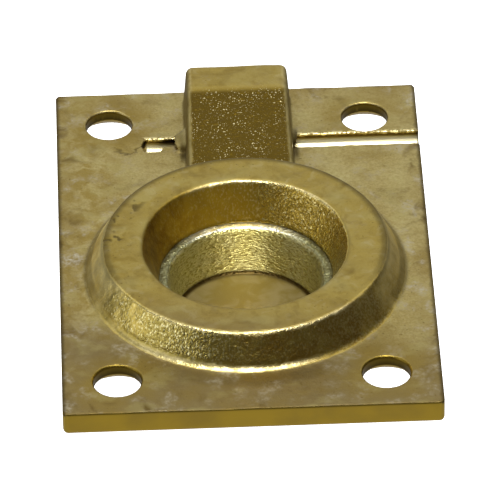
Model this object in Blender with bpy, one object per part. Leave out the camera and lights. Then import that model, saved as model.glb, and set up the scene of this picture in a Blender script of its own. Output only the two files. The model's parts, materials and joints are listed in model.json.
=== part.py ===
"""A cast brass flush ring pull, lying on its front with its back up.

+Z points out of the plate's back, +Y along the plate towards the knuckle pocket, and +X along the hinge pin.
The origin is under the middle of the plate, level with the top of the centre boss, which is the lowest face.
"""

import math

import bmesh
import bpy
from mathutils import Matrix

MM = 0.001
WELD = 1e-6
ROUND_STEPS = 72
FILLET_STEP = math.radians(30)

# Plate: a rectangle with four countersunk holes for No. 10 wood screws.
PLATE_WIDTH = 44.5 * MM
PLATE_LENGTH = 62.0 * MM
PLATE_THICKNESS = 3.05 * MM
PLATE_CORNER = 0.6 * MM
PLATE_FRONT_ROUNDING = 0.5 * MM
SCREW_RADIUS = 2.8 * MM
SCREW_LAND = 1.4 * MM
SCREW_HEAD_RADIUS = 4.5 * MM
SCREW_X = 15.75 * MM
SCREW_FAR_Y = 24.65 * MM
SCREW_NEAR_Y = -25.05 * MM

# Heights of the plate's two faces, over the top of the boss, which stands out of the front.
BOSS_STANDS_OUT = 5.45 * MM
FRONT = BOSS_STANDS_OUT
BACK = FRONT + PLATE_THICKNESS

# Round channel for the ring. It is open at the front, and its floor stands out of the plate's back.
CUP_Y = -5.05 * MM
CUP_HEIGHT = 4.13 * MM
CUP_BASE_RADIUS = 19.1 * MM
CUP_TOP_RADIUS = 16.9 * MM
CUP_BASE_FILLET = 0.6 * MM
CUP_FOOT_SINKS = 0.02 * MM
CUP_EDGE_ROUNDING = 0.35 * MM
CHANNEL_TOP = BACK + 2.4 * MM
CHANNEL_MOUTH_RADIUS = 17.5 * MM
CHANNEL_TOP_RADIUS = 15.5 * MM
ISLAND_TOP_RADIUS = 13.1 * MM
ISLAND_FRONT_RADIUS = 12.0 * MM
CHANNEL_FILLET = 0.8 * MM

# Hollow in the middle, open at the back. The boss closes its front, set in a counterbore up to a shoulder.
HOLLOW_MOUTH_RADIUS = 12.3 * MM
HOLLOW_SHOULDER_RADIUS = 10.25 * MM
BOSS_SOCKET_RADIUS = 10.85 * MM
SHOULDER = BACK - 0.5 * MM

# Boss: a turned cup with its mouth at the back and its closed end in front.
GAP = 0.3 * MM
BOSS_SKIRT_RADIUS = BOSS_SOCKET_RADIUS - GAP
BOSS_RIM = SHOULDER - GAP
BOSS_RIM_INNER_RADIUS = 9.15 * MM
BOSS_FLOOR_RADIUS = 8.65 * MM
BOSS_FLOOR = 1.2 * MM
BOSS_FLOOR_FILLET = 0.4 * MM
BOSS_FLANGE_RADIUS = 11.3 * MM
BOSS_CROWN = 2.6 * MM

# Hinge: one drilled hole across the plate, in from its +X edge. It breaks out through the back as a groove.
HINGE_Y = 20.2 * MM
HINGE_Z = BACK - 0.3 * MM
DRILL_RADIUS = 1.25 * MM
DRILL_END_X = -11.4 * MM
DRILL_TIP = 0.5 * MM
PIN_RADIUS = 1.1 * MM
PIN_START_X = -7.3 * MM
PIN_END_X = 6.9 * MM
PIN_CHAMFER = 0.2 * MM
EAR_LEFT_TIP_X = -9.5 * MM
EAR_RIGHT_TIP_X = 8.5 * MM
EAR_HALF_WIDTH = 6.0 * MM
EAR_RADIUS = 2.2 * MM

# Knuckle pocket: a hollow lug on the back. Its roof falls towards the cup.
LUG_X = 0.125 * MM
LUG_BASE_HALF_WIDTH = 6.6 * MM
LUG_DRAFT = 0.073
LUG_HEIGHT = 5.45 * MM
LUG_FAR_Y = 29.6 * MM
LUG_NEAR_Y = 9.5 * MM
ROOF_RIDGE_Y = 24.3 * MM
ROOF_FALL = math.tan(math.radians(12))
LUG_ROUNDING = 0.6 * MM
POCKET_HALF_WIDTH = 4.65 * MM
POCKET_NEAR_Y = 9.0 * MM
POCKET_FAR_Y = 27.9 * MM
POCKET_ROOF = 1.6 * MM
LIP_Y = 23.8 * MM
LIP_THICKNESS = 1.5 * MM

# Ring: a round bar bent to a circle round the boss, with a neck that ends in a forked knuckle.
RING_RADIUS = 14.5 * MM
RING_BAR_RADIUS = 2.1 * MM
RING_BAR_STEPS = 16
RING_Z = BACK - 1.5 * MM
NECK_HALF_WIDTH = 4.2 * MM
NECK_START_Y = 8.8 * MM
NECK_TOP = BACK + 0.2 * MM
KNUCKLE_RADIUS = 2.8 * MM
KNUCKLE_STEPS = 20
KNUCKLE_HOLE_RADIUS = 1.3 * MM
FORK_HALF_GAP = 2.0 * MM
FORK_ROOT_Y = 16.6 * MM
NECK_BEVEL = 0.35 * MM

# Spring: four turns and a bit on the pin, with one leg under the neck and one up to the pocket's roof.
WIRE_RADIUS = 0.3 * MM
COIL_RADIUS = 1.55 * MM
COIL_HALF_WIDTH = 1.36 * MM
COIL_TURNS = 4
COIL_STEPS = 20
ROOF_LEG_SLOPE = math.radians(40)
ROOF_LEG_TOP = BACK + 3.2 * MM
NECK_LEG_END_Y = 12.9 * MM
LEG_GROOVE_HALF_WIDTH = 0.6 * MM
LEG_GROOVE_END_Y = 12.4 * MM

BEYOND = 1.0 * MM


def rounded(corners):
    """The points of a closed outline through corners of (x, y, fillet radius)."""
    points = []
    for index, (x, y, radius) in enumerate(corners):
        before = corners[index - 1]
        after = corners[(index + 1) % len(corners)]
        if radius == 0:
            points.append((x, y))
            continue
        into = math.atan2(y - before[1], x - before[0])
        out = math.atan2(after[1] - y, after[0] - x)
        turn = math.remainder(out - into, 2 * math.pi)
        side = math.copysign(1, turn)
        setback = radius * math.tan(abs(turn) / 2)
        start_x = x - setback * math.cos(into)
        start_y = y - setback * math.sin(into)
        centre_x = start_x - side * radius * math.sin(into)
        centre_y = start_y + side * radius * math.cos(into)
        steps = max(2, round(abs(turn) / FILLET_STEP))
        for step in range(steps + 1):
            angle = into - side * math.pi / 2 + turn * step / steps
            points.append((centre_x + radius * math.cos(angle), centre_y + radius * math.sin(angle)))
    return points


def closed(mesh):
    """The mesh with doubled points joined and every face turned outwards."""
    bmesh.ops.remove_doubles(mesh, verts=mesh.verts[:], dist=WELD)
    bmesh.ops.recalc_face_normals(mesh, faces=mesh.faces[:])
    return mesh


def lathe(outline, place, steps=ROUND_STEPS):
    """A solid turned from an outline of (radius, height), then put in place by a matrix."""
    mesh = bmesh.new()
    points = [mesh.verts.new((radius, 0, height)) for radius, height in outline]
    ends_on_axis = points[0].co.x == 0 and points[-1].co.x == 0
    following = points[1:] if ends_on_axis else points[1:] + points[:1]
    for start, end in zip(points, following):
        mesh.edges.new((start, end))
    geometry = mesh.verts[:] + mesh.edges[:]
    turn = 2 * math.pi
    bmesh.ops.spin(mesh, geom=geometry, axis=(0, 0, 1), angle=turn, steps=steps, use_merge=True)
    bmesh.ops.transform(mesh, matrix=place, verts=mesh.verts[:])
    return closed(mesh)


def prism(outline, low, high, point):
    """A solid with the outline at both ends, where point turns (outline x, outline y, end) into x, y, z."""
    mesh = bmesh.new()
    ends = [[mesh.verts.new(point(x, y, end)) for x, y in outline] for end in (low, high)]
    for end in ends:
        mesh.faces.new(end)
    for index in range(len(outline)):
        mesh.faces.new((ends[0][index - 1], ends[0][index], ends[1][index], ends[1][index - 1]))
    return closed(mesh)


def upright(x, y, z):
    return (x, y, z)


def sideways(y, z, x):
    return (x, y, z)


def block(x, y, z):
    """A box between pairs of lowest and highest x, y and z."""
    corners = [(x[0], y[0]), (x[1], y[0]), (x[1], y[1]), (x[0], y[1])]
    return prism(corners, z[0], z[1], upright)


def joined(name, meshes):
    """One mesh datablock from several solids that stay apart."""
    whole = bmesh.new()
    for mesh in meshes:
        piece = bpy.data.meshes.new(name)
        mesh.to_mesh(piece)
        mesh.free()
        whole.from_mesh(piece)
        bpy.data.meshes.remove(piece)
    data = bpy.data.meshes.new(name)
    whole.to_mesh(data)
    whole.free()
    return data


def add(name, *meshes, origin=(0, 0, 0)):
    """An object of these solids, which are drawn in world places, with its own origin at a given point."""
    data = joined(name, meshes)
    data.transform(Matrix.Translation(origin).inverted())
    item = bpy.data.objects.new(name, data)
    item.location = origin
    bpy.context.scene.collection.objects.link(item)
    return item


def shape(item, operation, *meshes):
    """Joins solids to an object, or cuts them from it."""
    name = f"{item.name}_{operation.lower()}_{len(item.modifiers)}"
    other = add(name, *meshes)
    other.hide_render = True
    other.display_type = "WIRE"
    change = item.modifiers.new(name, "BOOLEAN")
    change.operation = operation
    change.solver = "EXACT"
    change.object = other


def brass(name, colour, roughness):
    """A metal of a plain colour."""
    material = bpy.data.materials.new(name)
    material.use_nodes = True
    shader = material.node_tree.nodes["Principled BSDF"]
    shader.inputs["Base Color"].default_value = (*colour, 1)
    shader.inputs["Metallic"].default_value = 1
    shader.inputs["Roughness"].default_value = roughness
    return material


def finish(item, material):
    """Gives an object its material and smooth shading that breaks at real edges."""
    item.data.materials.append(material)
    item.data.shade_smooth()
    item.data.set_sharp_from_angle(angle=math.radians(35))


def at_cup():
    return Matrix.Translation((0, CUP_Y, 0))


def along_x(y, z):
    """Turns a lathe's height into x, at a given y and z."""
    return Matrix.Translation((0, y, z)) @ Matrix.Rotation(math.pi / 2, 4, "Y")


def plate():
    """The plate, with its front edges buffed round."""
    x = PLATE_WIDTH / 2
    y = PLATE_LENGTH / 2
    corners = [(sx * x, sy * y, PLATE_CORNER) for sx, sy in ((-1, -1), (1, -1), (1, 1), (-1, 1))]
    mesh = prism(rounded(corners), FRONT, BACK, upright)
    edges = [edge for edge in mesh.edges if all(abs(v.co.z - FRONT) < WELD for v in edge.verts)]
    bmesh.ops.bevel(mesh, geom=edges, offset=PLATE_FRONT_ROUNDING, segments=2, profile=0.5, affect="EDGES")
    return closed(mesh)


def cup_mass():
    """The raised round of the channel, solid, from within the plate to its top."""
    inside = BACK - PLATE_THICKNESS / 2
    foot = CUP_BASE_RADIUS + 2 * CUP_BASE_FILLET
    corners = [
        (0, inside, 0),
        (foot, inside, 0),
        (foot, BACK - CUP_FOOT_SINKS, 0),
        (CUP_BASE_RADIUS, BACK - CUP_FOOT_SINKS, CUP_BASE_FILLET),
        (CUP_TOP_RADIUS, BACK + CUP_HEIGHT, CUP_EDGE_ROUNDING),
        (0, BACK + CUP_HEIGHT, 0),
    ]
    return lathe(rounded(corners), at_cup())


def roof_height(y):
    """Height of the lug's roof over the plate's back."""
    return LUG_HEIGHT - max(0, ROOF_RIDGE_Y - y) * ROOF_FALL


def lug():
    """The outside of the knuckle pocket, solid, with drafted sides and rounded edges."""
    inside = BACK - PLATE_THICKNESS / 2
    far_top_y = LUG_FAR_Y - LUG_DRAFT * LUG_HEIGHT
    outline = [
        (LUG_NEAR_Y, inside),
        (LUG_NEAR_Y, BACK + roof_height(LUG_NEAR_Y)),
        (ROOF_RIDGE_Y, BACK + LUG_HEIGHT),
        (far_top_y, BACK + LUG_HEIGHT),
        (LUG_FAR_Y, inside),
    ]

    def drafted(y, z, side):
        return (LUG_X + side * (LUG_BASE_HALF_WIDTH - LUG_DRAFT * (z - BACK)), y, z)

    mesh = prism(outline, -1, 1, drafted)

    def outer(edge):
        middle = (edge.verts[0].co + edge.verts[1].co) / 2
        across = abs(edge.verts[0].co.x - edge.verts[1].co.x) > POCKET_HALF_WIDTH
        ridge = across and abs(middle.y - ROOF_RIDGE_Y) < WELD
        return middle.z > inside + WELD and middle.y > LUG_NEAR_Y + WELD and not ridge

    edges = [edge for edge in mesh.edges if outer(edge)]
    bmesh.ops.bevel(mesh, geom=edges, offset=LUG_ROUNDING, segments=3, profile=0.5, affect="EDGES")
    return closed(mesh)


def ears():
    """The lug's cone-shaped ears, which cover the pin on both sides and taper into the plate."""
    outline = [
        (0, EAR_LEFT_TIP_X),
        (EAR_RADIUS, -EAR_HALF_WIDTH),
        (EAR_RADIUS, EAR_HALF_WIDTH),
        (0, EAR_RIGHT_TIP_X),
    ]
    return lathe(outline, along_x(HINGE_Y, BACK), steps=32)


def hollow():
    """The round hollow in the middle, wider at the back, and the boss's counterbore below its shoulder."""
    widening = (HOLLOW_MOUTH_RADIUS - HOLLOW_SHOULDER_RADIUS) / (BACK + CUP_HEIGHT - SHOULDER)
    outline = [
        (0, FRONT - BEYOND),
        (BOSS_SOCKET_RADIUS, FRONT - BEYOND),
        (BOSS_SOCKET_RADIUS, SHOULDER),
        (HOLLOW_SHOULDER_RADIUS, SHOULDER),
        (HOLLOW_MOUTH_RADIUS + widening * BEYOND, BACK + CUP_HEIGHT + BEYOND),
        (0, BACK + CUP_HEIGHT + BEYOND),
    ]
    return lathe(outline, at_cup())


def channel():
    """The ring's channel, open at the front."""
    depth = CHANNEL_TOP - FRONT
    outer_flare = (CHANNEL_MOUTH_RADIUS - CHANNEL_TOP_RADIUS) / depth * BEYOND
    inner_flare = (ISLAND_TOP_RADIUS - ISLAND_FRONT_RADIUS) / depth * BEYOND
    corners = [
        (ISLAND_FRONT_RADIUS - inner_flare, FRONT - BEYOND, 0),
        (CHANNEL_MOUTH_RADIUS + outer_flare, FRONT - BEYOND, 0),
        (CHANNEL_TOP_RADIUS, CHANNEL_TOP, CHANNEL_FILLET),
        (ISLAND_TOP_RADIUS, CHANNEL_TOP, CHANNEL_FILLET),
    ]
    return lathe(rounded(corners), at_cup())


def pocket():
    """The room for the knuckle, with a lip along the far end of its mouth that stops the open ring."""
    def ceiling(y):
        return BACK + roof_height(y) - POCKET_ROOF

    outline = [
        (POCKET_NEAR_Y, FRONT - BEYOND),
        (POCKET_NEAR_Y, ceiling(POCKET_NEAR_Y)),
        (ROOF_RIDGE_Y, ceiling(ROOF_RIDGE_Y)),
        (POCKET_FAR_Y, ceiling(POCKET_FAR_Y)),
        (POCKET_FAR_Y, FRONT + LIP_THICKNESS),
        (LIP_Y, FRONT + LIP_THICKNESS),
        (LIP_Y, FRONT - BEYOND),
    ]
    return prism(outline, LUG_X - POCKET_HALF_WIDTH, LUG_X + POCKET_HALF_WIDTH, sideways)


def drilling():
    """The drilled hole for the pin, with the drill's point at its end."""
    outline = [
        (0, DRILL_END_X - DRILL_TIP),
        (DRILL_RADIUS, DRILL_END_X),
        (DRILL_RADIUS, PLATE_WIDTH / 2 + BEYOND),
        (0, PLATE_WIDTH / 2 + BEYOND),
    ]
    return lathe(outline, along_x(HINGE_Y, HINGE_Z), steps=32)


def screw_hole(x, y):
    """A hole with a countersink at the front."""
    widening = (SCREW_HEAD_RADIUS - SCREW_RADIUS) / (PLATE_THICKNESS - SCREW_LAND)
    outline = [
        (0, FRONT - BEYOND),
        (SCREW_HEAD_RADIUS + widening * BEYOND, FRONT - BEYOND),
        (SCREW_RADIUS, BACK - SCREW_LAND),
        (SCREW_RADIUS, BACK + BEYOND),
        (0, BACK + BEYOND),
    ]
    return lathe(outline, Matrix.Translation((x, y, 0)), steps=32)


def make_housing():
    item = add("housing", plate())
    shape(item, "UNION", cup_mass())
    shape(item, "UNION", lug())
    shape(item, "UNION", ears())
    shape(item, "DIFFERENCE", hollow())
    shape(item, "DIFFERENCE", channel())
    shape(item, "DIFFERENCE", pocket())
    shape(item, "DIFFERENCE", drilling())
    places = [(sx * SCREW_X, y) for sx in (-1, 1) for y in (SCREW_NEAR_Y, SCREW_FAR_Y)]
    shape(item, "DIFFERENCE", *(screw_hole(x, y) for x, y in places))
    finish(item, brass("cast_brass", (0.58, 0.47, 0.20), 0.5))


def make_boss():
    corners = [
        (0, BOSS_FLOOR, 0),
        (BOSS_FLOOR_RADIUS, BOSS_FLOOR, BOSS_FLOOR_FILLET),
        (BOSS_RIM_INNER_RADIUS, BOSS_RIM, 0),
        (BOSS_SKIRT_RADIUS, BOSS_RIM, 0),
        (BOSS_SKIRT_RADIUS, FRONT - GAP, 0),
        (BOSS_FLANGE_RADIUS, FRONT - GAP, 0),
        (BOSS_FLANGE_RADIUS, 0, BOSS_CROWN),
        (0, 0, 0),
    ]
    item = add("centre_boss", lathe(rounded(corners), at_cup()))
    finish(item, brass("turned_brass", (0.62, 0.52, 0.25), 0.35))


def ring_bar():
    """The round bar of the ring."""
    step = 2 * math.pi / RING_BAR_STEPS
    circle = [
        (RING_RADIUS + RING_BAR_RADIUS * math.cos(n * step), RING_Z + RING_BAR_RADIUS * math.sin(n * step))
        for n in range(RING_BAR_STEPS)
    ]
    return lathe(circle, at_cup())


def neck():
    """The neck from the ring's bar to the knuckle, whose front is level with the neck's."""
    shoulder = math.asin((NECK_TOP - HINGE_Z) / KNUCKLE_RADIUS)
    start = -math.pi / 2
    sweep = math.pi - shoulder - start
    outline = [(NECK_START_Y, NECK_TOP), (NECK_START_Y, HINGE_Z - KNUCKLE_RADIUS)]
    for step in range(KNUCKLE_STEPS + 1):
        angle = start + sweep * step / KNUCKLE_STEPS
        y = HINGE_Y + KNUCKLE_RADIUS * math.cos(angle)
        z = HINGE_Z + KNUCKLE_RADIUS * math.sin(angle)
        outline.append((y, z))
    mesh = prism(outline, LUG_X - NECK_HALF_WIDTH, LUG_X + NECK_HALF_WIDTH, sideways)

    def on_a_side(edge):
        sides = [abs(abs(v.co.x - LUG_X) - NECK_HALF_WIDTH) < WELD for v in edge.verts]
        same = abs(edge.verts[0].co.x - edge.verts[1].co.x) < WELD
        return all(sides) and same

    edges = [edge for edge in mesh.edges if on_a_side(edge)]
    bmesh.ops.bevel(mesh, geom=edges, offset=NECK_BEVEL, segments=2, profile=0.5, affect="EDGES")
    return closed(mesh)


def leg_x():
    """Where across the knuckle the spring's neck leg runs."""
    return LUG_X - COIL_HALF_WIDTH


def make_ring():
    item = add("pull_ring", ring_bar(), origin=(0, HINGE_Y, HINGE_Z))
    shape(item, "UNION", neck())
    reach = KNUCKLE_RADIUS + BEYOND
    hole = [
        (0, -PLATE_WIDTH),
        (KNUCKLE_HOLE_RADIUS, -PLATE_WIDTH),
        (KNUCKLE_HOLE_RADIUS, PLATE_WIDTH),
        (0, PLATE_WIDTH),
    ]
    shape(item, "DIFFERENCE", lathe(hole, along_x(HINGE_Y, HINGE_Z), steps=32))
    fork = block(
        (LUG_X - FORK_HALF_GAP, LUG_X + FORK_HALF_GAP),
        (FORK_ROOT_Y, HINGE_Y + reach),
        (HINGE_Z - reach, HINGE_Z + reach),
    )
    shape(item, "DIFFERENCE", fork)
    groove = block(
        (leg_x() - LEG_GROOVE_HALF_WIDTH, leg_x() + LEG_GROOVE_HALF_WIDTH),
        (LEG_GROOVE_END_Y, FORK_ROOT_Y + BEYOND),
        (HINGE_Z - reach, HINGE_Z - COIL_RADIUS + WIRE_RADIUS + GAP),
    )
    shape(item, "DIFFERENCE", groove)
    finish(item, brass("polished_brass", (0.70, 0.58, 0.28), 0.22))


def make_pin():
    outline = [
        (0, PIN_START_X),
        (PIN_RADIUS - PIN_CHAMFER, PIN_START_X),
        (PIN_RADIUS, PIN_START_X + PIN_CHAMFER),
        (PIN_RADIUS, PIN_END_X - PIN_CHAMFER),
        (PIN_RADIUS - PIN_CHAMFER, PIN_END_X),
        (0, PIN_END_X),
    ]
    item = add("hinge_pin", lathe(outline, along_x(HINGE_Y, HINGE_Z), steps=32))
    finish(item, brass("pin_brass", (0.62, 0.52, 0.25), 0.4))


def spring_route():
    """The wire's centre line: the neck's leg, the coil, and the leg to the pocket's roof."""
    wrap = 2 * math.pi * COIL_TURNS + ROOF_LEG_SLOPE
    steps = math.ceil(wrap / (2 * math.pi) * COIL_STEPS)
    route = [(leg_x(), NECK_LEG_END_Y, HINGE_Z - COIL_RADIUS)]
    for step in range(steps + 1):
        angle = -math.pi / 2 + wrap * step / steps
        x = leg_x() + 2 * COIL_HALF_WIDTH * step / steps
        route.append((x, HINGE_Y + COIL_RADIUS * math.cos(angle), HINGE_Z + COIL_RADIUS * math.sin(angle)))
    x, y, z = route[-1]
    route.append((x, y + (ROOF_LEG_TOP - z) / math.tan(ROOF_LEG_SLOPE), ROOF_LEG_TOP))
    return route


def make_spring():
    curve = bpy.data.curves.new("torsion_spring", "CURVE")
    curve.dimensions = "3D"
    curve.bevel_depth = WIRE_RADIUS
    curve.bevel_resolution = 2
    curve.use_fill_caps = True
    route = spring_route()
    spline = curve.splines.new("POLY")
    spline.points.add(len(route) - 1)
    for point, place in zip(spline.points, route):
        point.co = (*place, 1)
    curve.materials.append(brass("spring_bronze", (0.55, 0.40, 0.22), 0.3))
    item = bpy.data.objects.new("torsion_spring", curve)
    bpy.context.scene.collection.objects.link(item)


def main():
    for item in list(bpy.data.objects):
        bpy.data.objects.remove(item, do_unlink=True)
    make_housing()
    make_boss()
    make_ring()
    make_pin()
    make_spring()


main()
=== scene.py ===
"""Looks of the flush ring pull, lying on its front with its back up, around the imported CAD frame."""

import json
import math
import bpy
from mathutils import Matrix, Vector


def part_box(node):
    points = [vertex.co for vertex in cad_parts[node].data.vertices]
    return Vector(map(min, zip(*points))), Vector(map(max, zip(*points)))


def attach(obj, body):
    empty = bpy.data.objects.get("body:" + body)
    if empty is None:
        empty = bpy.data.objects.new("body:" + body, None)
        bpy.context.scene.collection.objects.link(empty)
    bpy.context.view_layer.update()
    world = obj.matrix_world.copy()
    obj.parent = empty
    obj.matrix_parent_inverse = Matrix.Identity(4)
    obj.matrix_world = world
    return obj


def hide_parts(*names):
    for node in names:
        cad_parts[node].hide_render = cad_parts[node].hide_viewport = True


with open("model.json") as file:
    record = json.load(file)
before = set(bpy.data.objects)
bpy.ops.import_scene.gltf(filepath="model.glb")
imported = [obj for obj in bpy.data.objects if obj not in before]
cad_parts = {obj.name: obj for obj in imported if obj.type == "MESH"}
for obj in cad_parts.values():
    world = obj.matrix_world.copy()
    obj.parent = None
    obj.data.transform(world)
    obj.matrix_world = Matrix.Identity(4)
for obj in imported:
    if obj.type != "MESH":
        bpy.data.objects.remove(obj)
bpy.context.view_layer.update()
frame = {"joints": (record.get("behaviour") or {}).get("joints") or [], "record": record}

from types import SimpleNamespace

import bmesh
import bpy
import numpy as np
from mathutils import Matrix, Vector

MM = 0.001
WELD = 1e-6

# ------------ sizes, from the frame
housing_low, housing_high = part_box("housing")
boss_low, boss_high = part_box("centre_boss")
ring_low, ring_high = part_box("pull_ring")
pin_low, pin_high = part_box("hinge_pin")
back_mount = next(m for m in frame["record"]["mounts"] if m["name"] == "back_seat")
hinge_point = Vector(frame["joints"][0]["pos_m"])

PLATE_X = housing_high.x
PLATE_Y = housing_high.y
FRONT = housing_low.z
BACK = back_mount["pos_m"][2]
PLATE_THICKNESS = BACK - FRONT
CUP_Y = (boss_low.y + boss_high.y) / 2
HINGE_Y = hinge_point.y
HINGE_Z = hinge_point.z
LUG_HEIGHT = housing_high.z - BACK
PIN_RADIUS = (pin_high.z - pin_low.z) / 2
RING_OUTER_RADIUS = ring_high.x - (ring_low.x + ring_high.x) / 2
BOSS_RIM = boss_high.z
BOSS_FLANGE_RADIUS = (boss_high.x - boss_low.x) / 2

# ------------ shape details, as in the CAD
PLATE_CORNER = 0.6 * MM
PLATE_FRONT_ROUNDING = 0.5 * MM
SCREW_RADIUS = 2.8 * MM
SCREW_LAND = 1.4 * MM
SCREW_HEAD_RADIUS = 4.5 * MM
SCREW_X = 15.75 * MM
SCREW_FAR_Y = 24.65 * MM
SCREW_NEAR_Y = -25.05 * MM
SCREW_PLACES = [(side * SCREW_X, y) for side in (-1, 1) for y in (SCREW_NEAR_Y, SCREW_FAR_Y)]
CUP_HEIGHT = 4.13 * MM
CUP_BASE_RADIUS = 19.1 * MM
CUP_TOP_RADIUS = 16.9 * MM
CHANNEL_TOP = BACK + 2.4 * MM
CHANNEL_MOUTH_RADIUS = 17.5 * MM
CHANNEL_TOP_RADIUS = 15.5 * MM
ISLAND_TOP_RADIUS = 13.1 * MM
ISLAND_FRONT_RADIUS = 12.0 * MM
CHANNEL_FILLET = 0.8 * MM
HOLLOW_MOUTH_RADIUS = 12.3 * MM
HOLLOW_SHOULDER_RADIUS = 10.25 * MM
BOSS_SOCKET_RADIUS = 10.85 * MM
BOSS_GAP = 0.3 * MM
BOSS_SKIRT_RADIUS = BOSS_SOCKET_RADIUS - BOSS_GAP
BOSS_RIM_INNER_RADIUS = 9.15 * MM
BOSS_FLOOR_RADIUS = 8.65 * MM
BOSS_FLOOR = 1.2 * MM
BOSS_CROWN = 2.6 * MM
DRILL_RADIUS = 1.25 * MM
DRILL_END_X = -11.4 * MM
DRILL_TIP = 0.5 * MM
EAR_LEFT_TIP_X = -9.5 * MM
EAR_RIGHT_TIP_X = 8.5 * MM
EAR_HALF_WIDTH = 6.0 * MM
EAR_RADIUS = 2.2 * MM
LUG_X = 0.125 * MM
LUG_BASE_HALF_WIDTH = 6.6 * MM
LUG_DRAFT = 0.073
LUG_FAR_Y = 29.6 * MM
LUG_NEAR_Y = 9.5 * MM
ROOF_RIDGE_Y = 24.3 * MM
ROOF_FALL = math.tan(math.radians(12))
POCKET_HALF_WIDTH = 4.65 * MM
POCKET_NEAR_Y = 9.0 * MM
POCKET_FAR_Y = 27.9 * MM
POCKET_ROOF = 1.6 * MM
LIP_Y = 23.8 * MM
LIP_THICKNESS = 1.5 * MM
RING_BAR_RADIUS = 2.1 * MM
RING_Z = BACK - 1.5 * MM
NECK_HALF_WIDTH = 4.2 * MM
NECK_START_Y = 8.8 * MM
NECK_TOP = BACK + 0.2 * MM
KNUCKLE_RADIUS = 2.8 * MM
KNUCKLE_HOLE_RADIUS = 1.3 * MM
FORK_HALF_GAP = 2.0 * MM
FORK_ROOT_Y = 16.6 * MM
WIRE_RADIUS = 0.3 * MM
COIL_RADIUS = 1.55 * MM
COIL_HALF_WIDTH = 1.36 * MM
COIL_TURNS = 4
ROOF_LEG_SLOPE = math.radians(40)
ROOF_LEG_TOP = BACK + 3.2 * MM
NECK_LEG_END_Y = 12.9 * MM
LEG_GROOVE_HALF_WIDTH = 0.6 * MM
LEG_GROOVE_END_Y = 12.4 * MM

# ------------ shape details of this model only
CUP_FOOT_FILLET = 1.2 * MM
CUP_EDGE_ROUNDING = 0.7 * MM
LUG_ROUNDING = 0.85 * MM
RIDGE_ROUNDING = 9 * MM
HOLE_ROUNDING = 0.25 * MM
SLOT_FILL_LOW_X = -9.6 * MM
SLOT_FILL_HIGH_X = -7.45 * MM
CRACK_LENGTH = 4.5 * MM
BOSS_FLOOR_FILLET = 0.15 * MM
BOSS_RIM_ROUNDING = 0.6 * MM
PIN_CHAMFER = 0.2 * MM

# The cup's axis, and how far a cutting tool reaches past what it cuts.
AT_CUP = Matrix.Translation((0, CUP_Y, 0))
BEYOND = 1.0 * MM
# The mesh: its first even grid, the triangles left of it, and how much thin_out() minds their length.
VOXEL = 0.16 * MM
MOST_TRIANGLES = 190_000
LENGTH_COST = 1e-5

# ------------ camera, light, floor
CAMERA_ELEVATION = math.radians(38.10)
CAMERA_SWING = math.radians(1.49)
CAMERA_ROLL = math.radians(1.02)
CAMERA_DISTANCE = 16.5 * 2 * PLATE_X
# Shares of the picture's width: the plate where the camera aims, and the shift right and up.
PLATE_SHARE = 0.741
CAMERA_SHIFT = (0.0118, -0.012)
SENSOR_WIDTH = 36
BASE_LIGHT = 0.13
LAMP_SIZE = 50 * MM
LAMP_DISTANCE = 400 * MM
LAMP_ELEVATION = math.radians(44)
LAMP_POWER = 1.6
LAMP_COLOUR = (1, 0.93, 0.72)
FLOOR_BELOW = 60 * MM
FLOOR_HALF_SIZE = 4.0


# ------------ mesh tools
def arc(x, y, radius, angles):
    """Points on a circle round (x, y)."""
    return [(x + radius * math.cos(angle), y + radius * math.sin(angle)) for angle in angles]


def rounded(corners, most_turn=math.radians(12)):
    """The points of a closed outline through corners of (x, y, fillet radius)."""
    points = []
    for index, (x, y, radius) in enumerate(corners):
        before = corners[index - 1]
        after = corners[(index + 1) % len(corners)]
        if radius == 0:
            points.append((x, y))
            continue
        into = math.atan2(y - before[1], x - before[0])
        out = math.atan2(after[1] - y, after[0] - x)
        turn = math.remainder(out - into, 2 * math.pi)
        side = math.copysign(1, turn)
        setback = radius * math.tan(abs(turn) / 2)
        centre_x = x - setback * math.cos(into) - side * radius * math.sin(into)
        centre_y = y - setback * math.sin(into) + side * radius * math.cos(into)
        steps = max(2, round(abs(turn) / most_turn))
        angles = into - side * math.pi / 2 + turn * np.linspace(0, 1, steps + 1)
        points += arc(centre_x, centre_y, radius, angles)
    return points


def closed(mesh):
    """Welds a solid's doubled points and turns its faces outward."""
    bmesh.ops.remove_doubles(mesh, verts=mesh.verts[:], dist=WELD)
    bmesh.ops.recalc_face_normals(mesh, faces=mesh.faces[:])
    return mesh


def lathe(outline, place, steps=256):
    """A solid turned from an outline of (radius, height), then put in place by a matrix."""
    mesh = bmesh.new()
    points = [mesh.verts.new((radius, 0, height)) for radius, height in outline]
    ends_on_axis = points[0].co.x == 0 and points[-1].co.x == 0
    following = points[1:] if ends_on_axis else points[1:] + points[:1]
    for start, end in zip(points, following):
        mesh.edges.new((start, end))
    geometry = mesh.verts[:] + mesh.edges[:]
    bmesh.ops.spin(mesh, geom=geometry, axis=(0, 0, 1), angle=2 * math.pi, steps=steps, use_merge=True)
    bmesh.ops.transform(mesh, matrix=place, verts=mesh.verts[:])
    return closed(mesh)


def prism(outline, low, high, point):
    """A solid with the outline at both ends; point makes x, y, z of an outline point and an end's place."""
    mesh = bmesh.new()
    ends = [[mesh.verts.new(point(x, y, end)) for x, y in outline] for end in (low, high)]
    for end in ends:
        mesh.faces.new(end)
    for index in range(len(outline)):
        mesh.faces.new((ends[0][index - 1], ends[0][index], ends[1][index], ends[1][index - 1]))
    return closed(mesh)


def upright(x, y, z):
    """An outline in x and y, for a prism along z."""
    return (x, y, z)


def sideways(y, z, x):
    """An outline in y and z, for a prism along x."""
    return (x, y, z)


def block(x, y, z):
    """A box between pairs of lowest and highest x, y and z."""
    corners = [(x[0], y[0]), (x[1], y[0]), (x[1], y[1]), (x[0], y[1])]
    return prism(corners, z[0], z[1], upright)


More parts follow.
